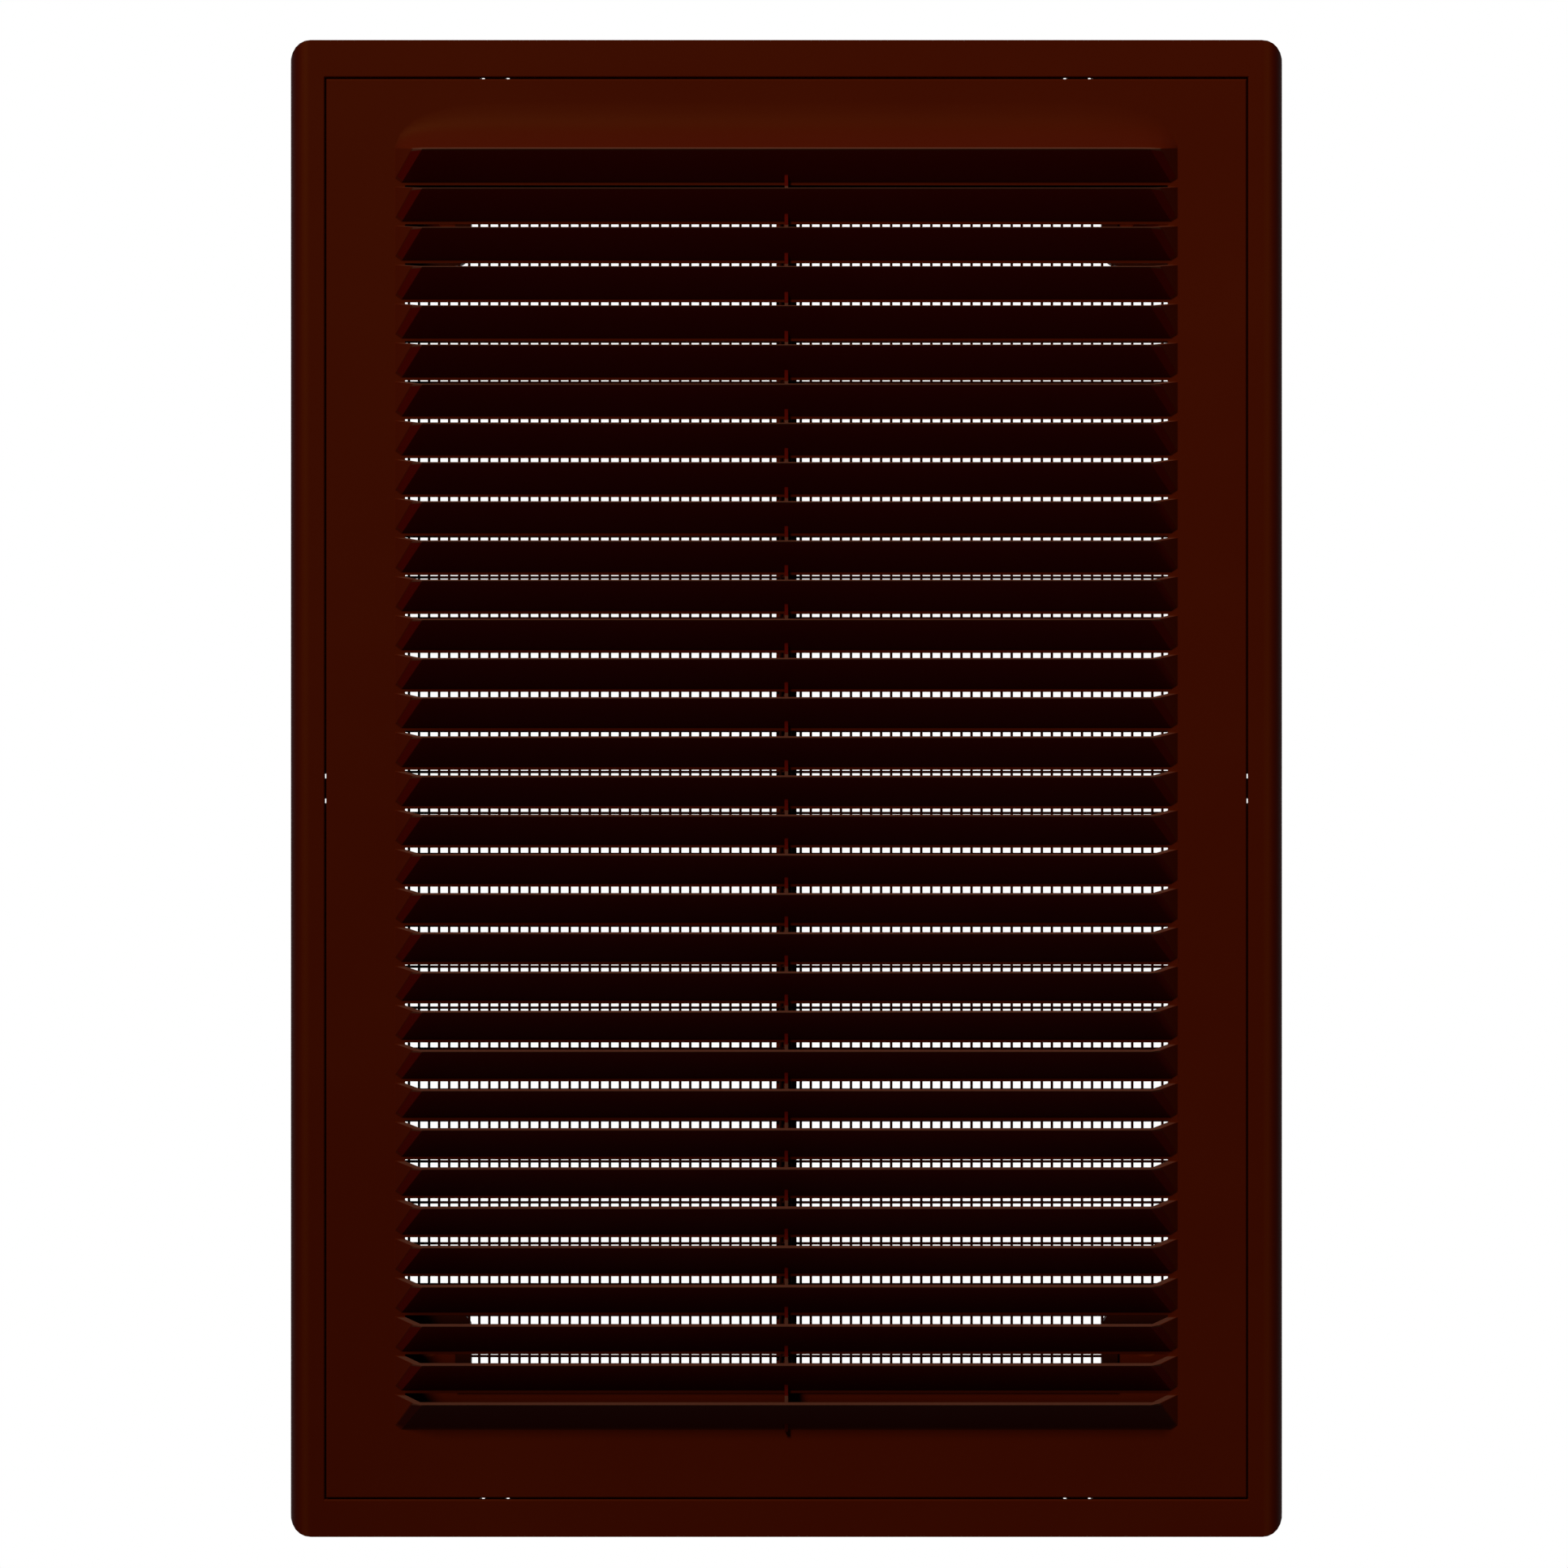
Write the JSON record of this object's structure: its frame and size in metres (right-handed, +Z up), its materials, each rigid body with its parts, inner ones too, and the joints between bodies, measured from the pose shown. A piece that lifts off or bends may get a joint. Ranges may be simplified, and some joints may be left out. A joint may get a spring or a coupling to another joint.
{
  "type": "ventilation grille",
  "caption": "Rectangular plastic wall ventilation grille: screw-on base frame, insect mesh and a snap-in front panel with horizontal louvre hoods.",
  "frame": {"origin": "centre of the rear face that lies on the wall, on the end of the frame's middle bar", "axes": "+X to the right as seen from the front, +Y into the wall, +Z up along the long side; the louvres face -Y"},
  "size_m": [0.1994, 0.017, 0.3],
  "materials": {
    "frame_plastic": "satin moulded brown plastic",
    "panel_plastic": "satin moulded brown plastic",
    "mesh_plastic": "dull dark brown plastic net"
  },
  "bodies": {
    "base": {"base_frame": "frame_plastic", "insect_mesh": "mesh_plastic"},
    "panel": {"louvre_panel": "panel_plastic"}
  },
  "joints": [
    {"name": "panel_release", "type": "slide", "parent": "base", "child": "panel", "axis": [0, -1, 0], "range_m": [0, 0.03]}
  ]
}
